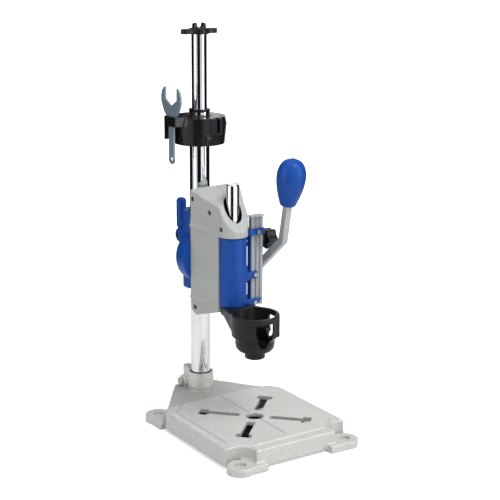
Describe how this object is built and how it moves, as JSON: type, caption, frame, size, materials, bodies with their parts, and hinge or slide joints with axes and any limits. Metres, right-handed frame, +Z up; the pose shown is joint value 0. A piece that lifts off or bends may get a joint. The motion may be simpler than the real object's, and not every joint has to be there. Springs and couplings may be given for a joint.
{
  "type": "rotary tool drill stand",
  "caption": "Bench drill stand for a handheld rotary tool: cast slotted base, chrome column, tilting lever-fed carriage with a tool cup, storage drum and telescoping mast.",
  "frame": {"origin": "on the bench, at the centre of the rectangle of the four bench bolt holes", "axes": "+Z up along the column, +X to the right, where the feed lever is, and -Y to the front, where the user stands"},
  "size_m": [0.182, 0.2805, 0.4945],
  "materials": {
    "cast_aluminium": "cast and clear coated",
    "chrome_tube": "polished",
    "black_plastic": "satin",
    "blue_plastic": "satin",
    "grey_plastic": "fine texture",
    "rail_aluminium": "satin",
    "steel": "zinc plated",
    "wrench_steel": "stamped",
    "bronze": "sintered"
  },
  "bodies": {
    "stand": {"base_casting": "cast_aluminium", "socket_screw": "steel", "socket_nut": "steel", "lower_tube": "chrome_tube", "tube_bush": "black_plastic", "storage_drum": "black_plastic", "drum_screw": "steel"},
    "mast": {"upper_tube": "chrome_tube", "tube_plug": "black_plastic", "hook_cap": "black_plastic"},
    "wrench": {"collet_wrench": "wrench_steel"},
    "liner": {"column_liner": "black_plastic"},
    "clamp": {"clamp_front": "blue_plastic", "clamp_rear": "blue_plastic", "clamp_bolts": "steel", "clamp_pad": "bronze", "cam_pin": "chrome_tube", "pivot_bolt": "steel"},
    "cam": {"cam_lever": "blue_plastic"},
    "carriage": {"carriage_left": "grey_plastic", "carriage_right": "grey_plastic", "carriage_screws": "steel", "rod_bush": "black_plastic", "shaft_bushes": "bronze", "return_spring": "steel", "lock_nut": "steel"},
    "slide": {"slide_body": "blue_plastic", "guide_rod": "chrome_tube", "drive_rack": "steel", "rack_screws": "steel", "tool_cup": "black_plastic", "cup_screw": "steel", "gauge_rail": "rail_aluminium", "rail_cap": "rail_aluminium", "rail_screws": "steel", "rail_pin": "steel"},
    "stop": {"depth_stop": "blue_plastic", "stop_screw": "steel"},
    "lever": {"pinion_shaft": "steel", "sector_gear": "steel", "lever_spacer": "steel", "feed_lever": "rail_aluminium", "lever_knob": "blue_plastic", "lever_screw": "steel"},
    "lock": {"lock_stud": "steel", "lock_knob": "black_plastic"}
  },
  "joints": [
    {"name": "column_height", "type": "slide", "parent": "stand", "child": "liner", "axis": [0, 0, 1], "range_m": [-0.015, 0.015]},
    {"name": "column_swing", "type": "hinge", "parent": "liner", "child": "clamp", "pos_m": [0, 0.1155, 0.2045], "axis": [0, 0, 1], "range_deg": [-45, 45]},
    {"name": "tilt", "type": "hinge", "parent": "clamp", "child": "carriage", "pos_m": [0, 0.096, 0.2045], "axis": [0, -1, 0], "range_deg": [0, 90]},
    {"name": "cam_release", "type": "hinge", "parent": "clamp", "child": "cam", "pos_m": [0, 0.152, 0.222], "axis": [-1, 0, 0], "range_deg": [0, 90]},
    {"name": "feed", "type": "hinge", "parent": "carriage", "child": "lever", "pos_m": [0, 0.07787, 0.1775], "axis": [1, 0, 0], "range_deg": [0, 100], "stiffness_Nm_per_rad": 0.25, "springref_deg": -114.59},
    {"name": "slide_travel", "type": "slide", "parent": "carriage", "child": "slide", "axis": [0, 0, -1], "range_m": [0, 0.0446]},
    {"name": "depth_set", "type": "slide", "parent": "slide", "child": "stop", "axis": [0, 0, 1], "range_m": [-0.03, 0.012]},
    {"name": "lock_turn", "type": "hinge", "parent": "carriage", "child": "lock", "pos_m": [0, 0.058, 0.2275], "axis": [1, 0, 0], "range_deg": [-180, 0]},
    {"name": "mast_height", "type": "slide", "parent": "stand", "child": "mast", "axis": [0, 0, 1], "range_m": [-0.08, 0.2]},
    {"name": "wrench_lift", "type": "slide", "parent": "stand", "child": "wrench", "axis": [0, 0, 1], "range_m": [0, 0.065]}
  ],
  "couplings": [
    {"joint": "slide_travel", "follows": "feed", "m_per_rad": 0.0255}
  ]
}
